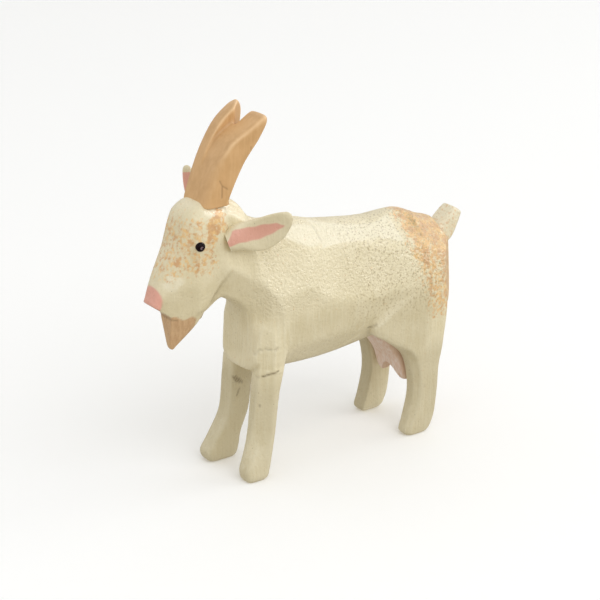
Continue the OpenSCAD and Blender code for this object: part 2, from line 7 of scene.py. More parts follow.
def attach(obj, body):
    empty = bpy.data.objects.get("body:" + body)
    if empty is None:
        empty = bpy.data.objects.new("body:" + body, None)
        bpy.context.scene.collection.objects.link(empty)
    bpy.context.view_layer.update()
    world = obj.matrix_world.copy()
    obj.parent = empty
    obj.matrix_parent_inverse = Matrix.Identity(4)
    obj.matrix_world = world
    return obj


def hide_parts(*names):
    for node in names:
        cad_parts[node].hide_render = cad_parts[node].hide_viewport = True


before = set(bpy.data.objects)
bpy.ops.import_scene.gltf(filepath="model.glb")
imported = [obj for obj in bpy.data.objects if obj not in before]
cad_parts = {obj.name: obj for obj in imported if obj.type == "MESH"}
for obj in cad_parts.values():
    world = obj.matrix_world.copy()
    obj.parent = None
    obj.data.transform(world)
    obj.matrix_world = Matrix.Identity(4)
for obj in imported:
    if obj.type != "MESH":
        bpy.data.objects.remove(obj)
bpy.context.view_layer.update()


# Body block and four legs
# The body is one block of limewood, whittled with a knife, and the legs are glued under it on dowels.
# Block and legs are carved through together, so the cuts run on over the glue lines.

MM = 0.001
# The sections are drawn from the middle of the stance, and the figure is centred on its whole length
SET_BACK = np.array([0.9655, 0.0, 0.0])
# Height of the flat seats that the legs are glued to
SEAT_Z = 26.0


def smooth_rows(rows, count):
    """Rows at even places on a curve through the given rows: each span is the cubic whose end slopes
    are half the way from the row before to the row after."""
    rows = np.asarray(rows, float)
    last = len(rows) - 1
    place = np.linspace(0, last, count)
    i = np.minimum(place.astype(int), last - 1)
    t = (place - i)[:, None]
    a, b, c, d = (rows[np.clip(i + k, 0, last)] for k in (-1, 0, 1, 2))
    return b + 0.5 * t * ((c - a) + t * ((2 * a - 5 * b + 4 * c - d) + t * (3 * (b - c) + d - a)))


def signed_power(value, power):
    """The value's size raised to a power, with its sign kept: 1 leaves a round, below 1 squares it."""
    return np.sign(value) * np.abs(value) ** power


def rib_surface(rows, rings, sides):
    """Ribs in a row: each runs from a top point to an under point in the middle plane and swells to a
    half width. The place on it is the widest point plus a powered cosine of the way up or down, and
    its side reach is a powered sine. Columns: top x, top z, under x, under z, half width, share of
    the widest point, roundness above it, roundness below it."""
    r = smooth_rows(rows, rings)[:, None, :]
    turn = np.linspace(0, 2 * np.pi, sides, endpoint=False)[None]
    c, s = np.cos(turn), np.sin(turn)
    power = np.where(c >= 0, r[..., 6], r[..., 7])
    top, under = r[..., 0:2], r[..., 2:4]
    widest = under + (top - under) * r[..., 5:6]
    way = np.where(c[..., None] >= 0, top - widest, widest - under)
    p = widest + way * signed_power(c, power)[..., None]
    return np.stack([p[..., 0], r[..., 4] * signed_power(s, power), p[..., 1]], -1)


def level_surface(rows, rings, sides):
    """Level sections in a row: powered cosine front to back, powered sine from the inner to the outer
    side. Columns: height, front x, back x, inner y, outer y, roundness."""
    r = smooth_rows(rows, rings)[:, None, :]
    turn = np.linspace(0, 2 * np.pi, sides, endpoint=False)[None]
    x = (r[..., 1] + r[..., 2]) / 2 + (r[..., 2] - r[..., 1]) / 2 * signed_power(np.cos(turn), r[..., 5])
    y = (r[..., 3] + r[..., 4]) / 2 + (r[..., 4] - r[..., 3]) / 2 * signed_power(np.sin(turn), r[..., 5])
    return np.stack([x, y, np.broadcast_to(r[..., 0], x.shape)], -1)


def closed_skin(grid):
    """Corners and faces of a grid that closes round its second direction, with a fan over each end."""
    rings, sides = grid.shape[:2]
    at = np.arange(rings * sides).reshape(rings, sides)
    on = np.roll(at, -1, 1)
    walls = np.stack([at[:-1], on[:-1], on[1:], at[1:]], -1).reshape(-1, 4)
    first, last = rings * sides, rings * sides + 1
    fans = np.concatenate([
        np.stack([np.full(sides, first), on[0], at[0]], -1),
        np.stack([np.full(sides, last), at[-1], on[-1]], -1)])
    corners = np.concatenate([grid.reshape(-1, 3), grid[:1].mean(1), grid[-1:].mean(1)])
    return corners, walls.tolist() + fans.tolist()


def mesh_of(name, *skins):
    """One mesh over the skins, drawn in millimetres about the stance, with its faces turned outwards."""
    corners, faces, start = [], [], 0
    for skin_corners, skin_faces in skins:
        corners.append(skin_corners)
        faces += [[k + start for k in face] for face in skin_faces]
        start += len(skin_corners)
    mesh = bpy.data.meshes.new(name)
    mesh.from_pydata(((np.concatenate(corners) + SET_BACK) * MM).tolist(), [], faces)
    work = bmesh.new()
    work.from_mesh(mesh)
    bmesh.ops.recalc_face_normals(work, faces=work.faces)
    work.to_mesh(mesh)
    work.free()
    return mesh


def piece_of(name, mesh):
    """An object at the origin that shows the mesh, with smooth faces."""
    mesh.shade_smooth()
    piece = bpy.data.objects.new(name, mesh)
    bpy.context.scene.collection.objects.link(piece)
    return piece


def finished(name, mesh, cutters=(), grain=None, passes=0):
    """The mesh after the cutters are taken away, it is fused to an even net and smoothed."""
    blank = piece_of(name, mesh)
    tools = [piece_of(name + "_cutter", cutter) for cutter in cutters]
    for tool in tools:
        cut = blank.modifiers.new("cut", "BOOLEAN")
        cut.operation, cut.solver, cut.object = "DIFFERENCE", "EXACT", tool
    if grain:
        net = blank.modifiers.new("net", "REMESH")
        net.mode, net.voxel_size = "VOXEL", grain * MM
    if passes:
        soft = blank.modifiers.new("soft", "SMOOTH")
        soft.factor, soft.iterations = 0.5, passes
    seen = blank.evaluated_get(bpy.context.evaluated_depsgraph_get())
    done = bpy.data.meshes.new_from_object(seen)
    done.name = name
    for used in (blank, *tools):
        bpy.data.objects.remove(used)
    return done


def points_of(mesh):
    """The mesh's points in millimetres about the stance."""
    flat = np.empty(len(mesh.vertices) * 3, np.float32)
    mesh.vertices.foreach_get("co", flat)
    return flat.reshape(-1, 3).astype(float) / MM - SET_BACK


def set_points(mesh, points):
    """Puts points in millimetres about the stance back into the mesh."""
    mesh.vertices.foreach_set("co", ((points + SET_BACK) * MM).astype(np.float32).ravel())
    mesh.update()


def normals_of(mesh):
    """The direction straight out of the surface at each point, of length 1."""
    flat = np.empty(len(mesh.vertices) * 3, np.float32)
    mesh.vertices.foreach_get("normal", flat)
    return flat.reshape(-1, 3).astype(float)


def step(value, low, high):
    """0 below low, 1 above high, and the smooth S between them. With low above high it falls."""
    t = np.clip((value - low) / (high - low), 0, 1)
    return t * t * (3 - 2 * t)


def within(value, low, high, ends=1.0):
    """1 between low and high, with an S that is as long as ends about each of them."""
    return step(value, low - ends / 2, low + ends / 2) * step(value, high + ends / 2, high - ends / 2)


def pare(points, at, out, reach=1.0, scoop=0.0, follow=0.0, soft=0.12):
    """A knife cut: a point beyond the plane goes back onto it, with an edge rounded over soft. Scoop
    lets the blade rise out of the wood to both ends, by that much times the square of the distance
    along x. Follow carries the plane along x, for each point. Reach, from 0 to 1, limits the cut."""
    out = np.asarray(out, float) / np.linalg.norm(out)
    beyond = (points - np.asarray(at, float)) @ out - follow * out[0] - scoop * (points[:, 0] - at[0]) ** 2
    push = soft * np.logaddexp(0, np.minimum(beyond, 20.0) / soft) * (beyond > -5 * soft)
    return points - (push * reach)[:, None] * out


def waves(points, length, seed, count=9):
    """Smooth unevenness from -1 to 1: the mean of sine waves in seeded directions about a length."""
    draw = np.random.default_rng(seed)
    way = draw.normal(size=(3, count))
    way /= np.linalg.norm(way, axis=0)
    turns = 2 * np.pi / (length * draw.uniform(0.7, 1.5, count))
    return np.sin(points @ (way * turns) + draw.uniform(0, 2 * np.pi, count)).mean(1) * 1.6


def along_line(points, line, width):
    """1 beside a broken line through the given x and z and 0 far from it, as a bell of that half width,
    all the way across the goat."""
    line, points = np.asarray(line, float), points[:, ::2]
    least = np.full(len(points), 1e9)
    for start, end in zip(line[:-1], line[1:]):
        run = end - start
        share = np.clip((points - start) @ run / (run @ run), 0, 1)
        least = np.minimum(least, np.linalg.norm(points - start - share[:, None] * run, axis=1))
    return np.exp(-(least / width) ** 2)


body_ribs = [
    [38.0, 46.6, 37.4, 34.0, 3.42, 0.50, 0.90, 0.90],
    [37.3, 49.0, 36.5, 30.0, 6.34, 0.50, 0.90, 0.90],
    [35.4, 51.0, 34.8, 27.0, 9.03, 0.48, 0.90, 0.90],
    [31.0, 52.6, 31.0, 25.5, 11.59, 0.47, 0.95, 0.90],
    [24.0, 55.4, 24.0, 25.5, 11.96, 0.46, 1.00, 0.90],
    [15.0, 55.3, 14.0, 25.5, 11.5, 0.46, 1.00, 0.95],
    [1.0, 57.3, 0.0, 24.0, 11.5, 0.47, 1.00, 0.95],
    [-9.0, 60.1, -12.0, 24.4, 11.5, 0.45, 1.00, 0.90],
    [-13.4, 60.3, -16.6, 25.5, 10.8, 0.42, 1.00, 0.80],
    [-16.0, 60.8, -21.6, 25.6, 10.26, 0.40, 1.00, 0.85],
    [-18.0, 61.6, -21.5, 31.0, 9.2, 0.40, 0.85, 0.95],
    [-20.2, 63.12, -21.8, 40.0, 8.6, 0.42, 0.75, 0.90],
    [-23.0, 66.7, -26.4, 44.2, 7.6, 0.36, 0.75, 1.00],
    [-29.4, 68.8, -28.25, 43.22, 6.4, 0.55, 0.50, 1.15],
    [-36.2, 66.6, -30.89, 40.87, 6.14, 0.62, 0.60, 1.10],
    [-39.11, 59.4, -34.85, 37.93, 5.36, 0.64, 0.70, 0.95],
    [-43.21, 52.18, -38.28, 35.18, 3.8, 0.66, 0.70, 0.95],
    [-44.6, 48.0, -39.6, 34.4, 3.57, 0.70, 0.70, 0.75],
    [-45.1, 46.6, -41.0, 37.0, 3.27, 0.70, 0.70, 0.60],
    [-44.5, 45.4, -42.2, 41.0, 2.28, 0.60, 0.70, 0.70],
]


def foreleg_rows(toe, heel, front, deep, inner, worn_off):
    """A foreleg from its sole up into the shoulder, by its toe, its heel, the front of its shank, how
    deep the shank is, where its inner side is and how much of the toe is worn off under it."""
    return [
        [0.0, toe + worn_off, heel - 0.6, 5.5, 9.1, 0.40],
        [0.4, toe + 0.45 * worn_off, heel, 5.1, 9.4, 0.40],
        [1.1, toe + 0.12 * worn_off, heel + 0.4, 4.9, 9.6, 0.38],
        [3.0, toe, heel + 0.9, 4.8, 9.6, 0.36],
        [6.5, 0.55 * toe + 0.45 * front, heel + 1.5, 4.8, 9.6, 0.32],
        [12.0, front, front + deep, inner + 0.3, 9.6, 0.32],
        [20.4, front + 1.0, front + deep + 1.1, inner, 9.7, 0.36],
        [26.0, front + 1.5, front + deep + 2.4, 3.8, 10.0, 0.5],
        [32.0, front + 2.6, front + 8.5, 3.8, 10.5, 0.6],
        [38.0, front + 3.4, front + 7.9, 3.8, 10.4, 0.7],
        [44.0, front + 4.6, front + 6.7, 3.8, 8.6, 0.8],
    ]


def hindleg_rows(slim):
    """A hind leg from its sole up into the haunch, with its shank slimmed at the back."""
    return [
        [0.0, 21.4, 26.3 - slim, 7.7, 10.4, 0.42],
        [0.4, 20.8, 27.0 - slim, 7.1, 10.9, 0.40],
        [1.1, 20.4, 27.7 - slim, 6.7, 11.3, 0.38],
        [2.2, 20.6, 28.3 - slim, 6.6, 11.4, 0.36],
        [5.0, 21.6, 29.2 - slim, 6.6, 11.4, 0.32],
        [11.0, 22.9, 29.9 - slim, 6.6, 11.4, 0.32],
        [17.0, 22.2, 30.3 - slim, 6.6, 11.4, 0.36],
        [21.77, 20.0, 31.2 - 0.5 * slim, 6.6, 11.72, 0.42],
        [26.0, 15.0, 31.6, 6.6, 12.0, 0.45],
        [30.5, 9.4, 32.2, 6.6, 12.2, 0.5],
        [37.0, 12.0, 32.8, 6.6, 12.2, 0.6],
        [43.0, 18.0, 32.0, 6.6, 11.3, 0.75],
        [48.0, 23.0, 29.0, 6.6, 8.6, 0.9],
    ]


to_left = np.array([1.0, -1.0, 1.0])
slim_left, slim_right = 0.1, 0.7
front_left, front_right = -22.4, -21.2
rows_left = foreleg_rows(toe=-25.2, heel=-19.6, front=front_left, deep=5.2, inner=4.0, worn_off=0.5)
rows_right = foreleg_rows(toe=-26.7, heel=-18.6, front=front_right, deep=6.2, inner=4.4, worn_off=1.6)
foreleg_left = level_surface(rows_left, rings=70, sides=72) * to_left
foreleg_right = level_surface(rows_right, rings=70, sides=72)
hindleg_left = level_surface(hindleg_rows(slim_left), rings=76, sides=84) * to_left
hindleg_right = level_surface(hindleg_rows(slim_right), rings=76, sides=84)
trunk = rib_surface(body_ribs, rings=229, sides=144)
# The underside is planed level with the leg seats, and the belly hangs a little lower between them
sunk_in, belly_hang, behind_beard = 0.1, 2.6, -30
x, z = trunk[..., 0], trunk[..., 2]
planed = SEAT_Z + sunk_in - belly_hang * within(x, -11.5, 12.5, 2.0)
trunk[..., 2] = np.where(x < behind_beard, z, np.maximum(z, planed))

# The notch under the lip sets the beard back: a wedge between the lip's slope and the beard's front
mouth_at = np.array([-40.6, 43.0])
notch = np.array([[0, 0], [-12, 9], [-12, -14], [0.84, -14]], float) + mouth_at
notch_grid = np.stack([np.stack([notch[:, 0], np.full(4, end), notch[:, 1]], -1) for end in (-9.0, 9.0)])
trunk_mesh = finished("trunk", mesh_of("trunk", closed_skin(trunk)),
                      cutters=[mesh_of("notch", closed_skin(notch_grid))])
trunk_skin = points_of(trunk_mesh), [list(face.vertices) for face in trunk_mesh.polygons]
carved = finished("carved", mesh_of(
    "carved", trunk_skin, closed_skin(foreleg_left), closed_skin(foreleg_right),
    closed_skin(hindleg_left), closed_skin(hindleg_right)), grain=0.36, passes=4)

# Both sides are cut alike: the cuts are drawn for the right side, and the left is folded over to it
points = points_of(carved)
side = np.where(points[:, 1] < 0, -1.0, 1.0)
points[:, 1] = np.abs(points[:, 1])
x, y, z = points.T
# A hollow behind each shoulder parts it from the ribs
points[:, 1] -= 0.4 * np.exp(-((x + 7.0) / 2.6) ** 2) * within(z, 36, 44, 4.0) * step(y, 5.0, 8.0)
# The belly ends at a slanting crease before each thigh
soft_end = 0.9 + 0.4 * np.maximum(z - 31.0, 0)
belly = step(x - 1.47 * (z - 31.8), 9.6 + soft_end, 9.6 - soft_end)
near_only = np.where(side < 0, 1.0, 0.0)
# How far each leg's front and back stand from their places at the shank, by height
line_left, line_right, line_hind = (
    smooth_rows(rows, count=200) for rows in (rows_left, rows_right, hindleg_rows(slim_left)))
toes = np.where(side < 0, np.interp(z, line_left[:, 0], line_left[:, 1]) - front_left,
                np.interp(z, line_right[:, 0], line_right[:, 1]) - front_right)
toes = np.minimum(toes, 0) + np.where(side < 0, 0.0, 1.0)
shank_front, shank_back = 22.9, 29.8
hocks = np.interp(z, line_hind[:, 0], line_hind[:, 1]) - shank_front
heels = np.interp(z, line_hind[:, 0], line_hind[:, 2]) - shank_back
fore, hind, below = within(x, -30, -11, 2.0), step(x, 15, 17), step(z, 27.5, 26.5)
# Bevels along the back, which part at the withers, and the side of the crown
bevels = [dict(at=(-6.61, 5.54, 56.69), out=(0.135, 0.665, 0.735), reach=within(x, -17.0, -3.0, 0.5)),
          dict(at=(9.65, 5.48, 53.93), out=(0.084, 0.603, 0.793), reach=within(x, -3.0, 26.0, 0.5))]
crown = dict(at=(-28.7, 4.75, 66.3), out=(0.106, 0.624, 0.775), reach=within(x, -33.0, -21.0, 1.0))
cuts = [
    # Shoulder blade and long flank
    dict(at=(-16.78, 8.75, 48.8), out=(-0.14, 1.0, 0.40),
         reach=step(x, -24.5, -18.0) * step(x, 3.5, 0.5) * step(z, 41, 42)),
    dict(at=(-24.0, 6.7, 52.0), out=(-0.14, 1.0, 0.15),
         reach=within(x, -28.0, -20.5, 4.0) * step(z, 43, 45)),
    dict(at=(6.0, 9.35, 45.5), out=(0.0, 1.0, 0.27), scoop=0.0082, reach=within(x, -9.5, 24.0, 2.0)),
    # Lower flank, underside, and the side of the breast, which ends in chips over the leg
    dict(at=(-4.0, 10.8, 40.0), out=(-0.03, 1.0, -0.06),
         reach=belly * within(x, -18.0, 40.0, 2.0) * step(z, 26.0, 28.0)
         * step(z + 12 * step(x, 2, 12), 52, 49)),
    dict(at=(-4.3, 8.4, 29.3), out=(0.0, 0.81, -0.58), reach=belly * within(x, -12.6, 40.0, 2.0)),
    dict(at=(-22.0, 5.1, 36.0), out=(-0.76, 1.0, -0.16),
         reach=within(x, -22.6, -10, 0.6) * step(z, 31.0, 43.0)),
    dict(at=(-22.8, 7.2, 50.0), out=(-0.50, 1.0, -0.38),
         reach=step(x + 0.43 * (52.5 - z), -28.0, -26.5) * step(x, -18.5, -23.5) * step(z, 36, 41)),
    dict(at=(-19.6, 8.5, 30.0), out=(-0.62, 0.78, 0.0), follow=np.where(side < 0, 0.0, 1.0),
         reach=fore * within(z, 26.5, 44, 2.0) * np.where(side < 0, 1.0, 0.8)),
    *bevels, crown,
    # A flatter cut along the withers, over the front bevel
    dict(at=(-9.0, 4.2, 58.35), out=(0.15, 0.39, 0.92), reach=within(x, -17.0, -3.0, 0.5)),
    # Haunch, corner of the rump, and the top of the rump
    dict(at=(23.0, 11.8, 27.0), out=(0.0, 1.0, -0.04), reach=within(x, 8.0, 40.0, 2.0)),
    dict(at=(32.6, 9.9, 38.0), out=(0.72, 0.69, 0.06), reach=step(x, 24.0, 28.0)),
    dict(at=(27.0, 7.4, 50.6), out=(0.34, 0.66, 0.67), reach=step(x, 22.0, 25.0)),
    dict(at=(34.6, 4.6, 49.4), out=(0.74, 0.30, 0.60), reach=step(x, 28.0, 31.0)),
    # Nape, brow, cheek and muzzle
    dict(at=(-23.5, 3.8, 64.3), out=(0.30, 0.62, 0.72), reach=within(x, -27.0, -17.0, 2.0)),
    dict(at=(-37.8, 4.4, 60.6), out=(-0.70, 0.66, 0.26), reach=step(x, -33.0, -35.0)),
    dict(at=(-40.4, 4.3, 51.6), out=(-0.30, 0.95, 0.05), reach=within(x, -50.0, -36.0, 2.0)),
    dict(at=(-34.0, 5.9, 50.0), out=(-0.24, 0.94, -0.24),
         reach=within(x, -44.0, -27.0, 2.0) * within(z, 33, 56, 4)),
    dict(at=(-37.4, 2.7, 38.6), out=(0.30, 0.88, -0.36),
         reach=within(x, -43.0, -30.0, 2.0) * step(z, 44, 42)),
    # Legs: the near foreleg's broad outer front, the hind legs' fronts and heels
    dict(at=(-19.7, 8.6, 14.0), out=(-0.60, 0.80, 0.0), follow=toes,
         reach=below * fore * near_only * step(z, 1.0, 10.0)),
    dict(at=(23.8, 10.6, 12.0), out=(-0.70, 0.71, 0.0), follow=hocks,
         reach=step(z, 27.0, 21.0) * hind * near_only),
    dict(at=(29.5, 10.9, 14.0), out=(0.80, 0.60, 0.0), follow=heels, reach=step(z, 27.0, 22.0) * hind),
]
for cut in cuts:
    points = pare(points, **cut)
points[:, 1] *= side
# The hand was not quite steady
unsteady = 0.05
points = points + unsteady * waves(points, length=7.0, seed=3)[:, None] * np.array([0.3, 1.0, 0.6])
set_points(carved, points)
x, y, z = points.T
# Thick paint, dabbed on: an uneven skin over back and flank, nearly smooth lower down
thick_paint = 0.07
dabbed = 0.25 + 0.75 * step(z, 36.0, 44.0) * step(x, -26.0, -18.0)
paint_skin = thick_paint * dabbed * waves(points, length=1.2, seed=29, count=30)
points = points + paint_skin[:, None] * normals_of(carved)
points[:, 2] = np.maximum(points[:, 2], 0.0)
set_points(carved, points)

# Marks of the knife: open glue lines over the legs, nicks and a few stop cuts. Each is the side that has
# it, how deep it goes and its line by x and z.
crack_deep, chip_deep = 0.16, 0.28
normals = normals_of(carved)
x, y, z = points.T
crack = 0.25 * np.exp(-((z - SEAT_Z) / 0.2) ** 2) * within(x, -23.0, -12.0, 1.0)
crack *= step(waves(points, length=5.0, seed=17), 0.0, 0.5)
near_side, far_inside, muzzle = step(y, -5.6, -6.6), within(y, 3.5, 5.6), step(x, -36.0, -38.0)
for where, depth, line in [
        (near_side, 1.0, [(-20.3, 25.6), (-18.7, 26.3), (-17.0, 26.8)]),
        (near_side, 0.3, [(-22.0, 25.3), (-20.3, 25.6)]),
        (near_side, 0.6, [(-20.8, 18.5), (-20.8, 18.2)]),
        (near_side, 0.4, [(25.3, 12.9), (25.3, 12.4)]),
        (near_side, 0.6, [(8.8, 31.3), (10.4, 32.2)]),
        (far_inside, 1.0, [(-19.7, 20.9), (-18.9, 19.6)]),
        (far_inside, 0.9, [(-19.1, 21.0), (-18.1, 19.2)]),
        (far_inside, 0.8, [(-18.3, 20.4), (-17.3, 19.0)]),
        (far_inside, 0.8, [(-18.1, 17.6), (-18.7, 16.0)]),
        # Painted shade under the left ear's root
        (near_side, 1.0, [(-27.8, 59.5), (-27.4, 58.7)]),
        # The mouth's stop cut under the lip, darkened partly as painted shade
        (muzzle, 0.5, [(-41.6, 42.7), (-40.2, 42.3), (-39.2, 42.0)])]:
    crack = np.maximum(crack, depth * where * along_line(points, line, width=0.2))
# Chips where a last cut over the leg tore out, showing fresh paint edges
chips = np.zeros(len(points))
for line in [[(-21.6, 30.6), (-20.9, 31.8)], [(-20.6, 32.2), (-20.2, 32.0)], [(-19.6, 32.4), (-18.6, 32.2)],
             [(-18.0, 32.0), (-17.7, 32.4)], [(-17.3, 32.0), (-17.1, 32.7)]]:
    chips = np.maximum(chips, near_side * along_line(points, line, width=0.22))
points = points - (crack_deep * crack + chip_deep * chips)[:, None] * normals
set_points(carved, points)


def neighbours(mesh):
    """The two ends of every edge, and a function that gives the mean of some values over the points
    beside each point."""
    count = len(mesh.vertices)
    edges = np.empty(len(mesh.edges) * 2, np.int32)
    mesh.edges.foreach_get("vertices", edges)
    a, b = edges.reshape(-1, 2).T
    near = np.maximum(np.bincount(np.concatenate([a, b]), minlength=count), 1)

    def mean(values):
        total = [np.bincount(np.concatenate([a, b]), np.concatenate([v[b], v[a]]), count) for v in values.T]
        return np.stack(total, -1) / near[:, None]

    return a, b, mean


def bends(mesh, passes=2):
    """How sharply the surface bends at each point: the point's height over the mean of its neighbours,
    along its normal, in edge lengths. Above 0 is an edge and below 0 a hollow."""
    a, b, mean = neighbours(mesh)
    points = points_of(mesh)
    size = np.linalg.norm(points[a] - points[b], axis=1).mean()
    bend = ((points - mean(points)) * normals_of(mesh)).sum(1, keepdims=True) / size
    for _ in range(passes):
        bend = 0.4 * bend + 0.6 * mean(bend)
    return bend[:, 0]


def paint(mesh, **layers):
    """Keeps each named layer, one number from 0 to 1 for a point, as the mesh's own attribute."""
    for name, values in layers.items():
        layer = mesh.attributes.new(name, "FLOAT", "POINT")
        layer.data.foreach_set("value", np.clip(values, 0, 1).astype(np.float32))


def patch(points, at, radius, edge=0.5):
    """1 inside a ball about a place and 0 outside, fading over a share of its radius."""
    far = np.linalg.norm((points - np.asarray(at, float)) / np.asarray(radius, float), axis=1)
    return step(far, 1 + edge / 2, 1 - edge / 2)


x, y, z = points.T
folded = np.stack([x, np.abs(y), z], -1)
wave = waves(points, length=3.0, seed=11)
# Tan round the eyes: the place of each dab, its size and how loaded the brush was
dabs = [((-29.6, 6.0, 65.2), (2.4, 3.0, 2.0), 0.85), ((-31.4, 6.0, 63.2), (2.2, 3.0, 2.0), 1.0),
        ((-32.0, 6.2, 60.8), (1.5, 3.0, 1.6), 1.0), ((-28.6, 6.2, 62.6), (1.6, 3.0, 1.4), 0.7),
        ((-34.6, 5.4, 64.0), (2.4, 3.0, 1.8), 0.62), ((-36.8, 4.8, 61.8), (1.6, 3.0, 2.2), 0.5),
        ((-38.6, 4.4, 58.6), (1.8, 3.0, 2.2), 0.55), ((-35.2, 5.8, 56.4), (2.4, 3.0, 1.8), 0.6),
        ((-37.6, 5.2, 54.8), (2.0, 3.0, 1.4), 0.55), ((-41.0, 3.6, 53.6), (1.6, 3.0, 2.6), 0.42)]
tan = (0.6 + 0.14 * wave) * step(x, -29.0, -32.0) * step(z, 50.5, 54.0) * step(z, 68.0, 64.0)
for at, size, load in dabs:
    tan = np.maximum(tan, load * patch(folded, at, size, edge=0.9))
# The rump's tan has a ragged front edge, the nose is pink, and the beard's brown ends in a wavy line
rump_edge = np.interp(z, [32, 35, 39, 45, 48, 50, 53, 55], [26.8, 26.0, 24.4, 23.2, 22.6, 22.2, 22.4, 23.0])
rump = step(x - rump_edge + 1.0 * wave, -4.5, 2.0) * step(z, 27.0, 33.0)
rump *= 0.72 + 0.28 * np.maximum(step(z, 42.0, 49.0), step(x, 30.0, 34.0))
nose = patch(points, (-45.6, 0.0, 47.4), (2.9, 5.5, 3.7), edge=0.14)
beard_edge = 43.0 - 0.16 * (x + 41.5) + 0.45 * np.sin(1.55 * x + 0.6) + 0.25 * wave
beard = step(z, beard_edge + 0.22, beard_edge - 0.22) * step(x, -34.0, -34.6)
bend = bends(carved)
# Thicker white on the muzzle, painted highlights on the crown and the bevels, and painted shade on the legs
# and on the low flank, which faces down
pale_and_highlight = 0.9 * patch(folded, (-29.0, 5.2, 66.4), (4.2, 3.0, 2.2), edge=0.6)
muzzle_white = patch(folded, (-40.8, 3.8, 51.6), (2.4, 3.0, 2.0), edge=0.9) * step(wave, -0.4, 0.3)
pale_and_highlight = np.maximum(pale_and_highlight, muzzle_white)
normals = normals_of(carved)
# Painted shade on the legs, on the far legs by which way each face turns, and on the low flank where it
# faces down
far_leg_shade = np.where(x < 0, 0.58 + 0.08 * step(normals[:, 1], -0.3, -0.8),
                    0.12 + 0.8 * step(normals[:, 0], -0.3, -0.8))
leg_and_flank_shade = step(z, 28.0, 20.0) * step(x, -34.0, -32.0) * np.where(y < 0, np.where(x < 0, 0.42, 0.48), far_leg_shade)
low_flank = step(normals[:, 2], -0.45, -0.2) * step(z, 42.0, 36.0)
leg_and_flank_shade = np.maximum(leg_and_flank_shade, (0.3 + 0.08 * step(x, 8, 16)) * low_flank * within(x, -14.0, 26.0, 4.0))
# Painted highlights along the back bevels and on the crown facet
for bevel, low, high in ((bevels[0], -17.0, -3.0), (bevels[1], -3.0, 20.0), (crown, -32.0, -24.0)):
    out = np.array(bevel["out"]) / np.linalg.norm(bevel["out"])
    off = np.abs((folded - np.array(bevel["at"])) @ out)
    pale_and_highlight = np.maximum(pale_and_highlight, step(off, 0.4, 0.2) * within(x, low, high, 0.6))
# Painted shade in the hollows, and pale wear on the edges
paint(carved, tan=np.maximum(tan, rump), pink=nose, brown=beard, crack=crack,
      worn=np.maximum(5 * bend, np.maximum(pale_and_highlight, chips)), grime=np.maximum(-5 * bend, leg_and_flank_shade),
      stipple=step(x, -2.0, 9.0) * step(z, 28.0, 40.0) * (1 - 0.5 * step(x, 26.0, 32.0)),
      streak=step(z, 44.0, 37.0), rough=step(z, 38.0, 44.0) * step(x, -24.0, -18.0))


def make_material(name):
    """An empty node material, and a function that adds a node with its settings and its inputs. An
    input is a number, a colour, or another node's output."""
    material = bpy.data.materials.new(name)
    material.use_nodes = True
    tree = material.node_tree
    tree.nodes.clear()

    def add(kind, inputs=(), **settings):
        node = tree.nodes.new("ShaderNode" + kind)
        for key, value in settings.items():
            setattr(node, key, value)
        for key, value in dict(inputs).items():
            socket = node.inputs[key]
            if isinstance(value, bpy.types.NodeSocket):
                tree.links.new(value, socket)
            else:
                socket.default_value = value
        return node

    return material, add


def mixed(add, share, first, second):
    """Colour that goes from the first to the second by a share."""
    return add("Mix", {0: share, 6: first, 7: second}, data_type="RGBA").outputs[2]


def ramp(add, value, low, high):
    """The value spread so that low gives 0 and high gives 1, with a smooth S between."""
    return add("MapRange", {"Value": value, "From Min": low, "From Max": high},
               interpolation_type="SMOOTHSTEP").outputs["Result"]


def times(add, first, second):
    """The first value times the second."""
    return add("Math", {0: first, 1: second}, operation="MULTIPLY").outputs[0]


def plus(add, first, second):
    """The first value plus the second."""
    return add("Math", {0: first, 1: second}, operation="ADD").outputs[0]


def noise(add, where, scale, detail=3.0, roughness=0.55):
    """Cloudy unevenness from 0 to 1, with about as many clouds to a unit of where as the scale says."""
    return add("TexNoise", {"Vector": where, "Scale": scale, "Detail": detail,
                            "Roughness": roughness}).outputs["Fac"]


def layer(add, name):
    """The value that paint kept on the mesh under this name."""
    return add("Attribute", attribute_name=name).outputs["Fac"]


def in_mm(add):
    """The place on the piece in millimetres."""
    place = add("TexCoord").outputs["Object"]
    return add("VectorMath", {0: place, 3: 1000.0}, operation="SCALE").outputs[0]


def rgb(red, green, blue):
    """A colour from its 0 to 255 screen values, as the shader's linear values."""
    c = np.array([red, green, blue]) / 255
    lin = np.where(c <= 0.04045, c / 12.92, ((c + 0.055) / 1.055) ** 2.4)
    return (*lin.tolist(), 1.0)


def spread(add, value, low, high):
    """The value from 0 to 1 spread evenly from low to high."""
    return add("MapRange", {"Value": value, "To Min": low, "To Max": high}).outputs[0]


def coated(material, add, colour, relief, strength, depth, roughness, **sockets):
    """The material with its finish put on: the colour, the relief as bumps of that strength and depth in
    metres, the roughness, and other sockets of the shader by their names."""
    bump = add("Bump", {"Height": relief, "Strength": strength, "Distance": depth}).outputs[0]
    shader = add("BsdfPrincipled", {"Base Color": colour, "Roughness": roughness, "Normal": bump,
                                    **sockets})
    add("OutputMaterial", {0: shader.outputs[0]})
    return material


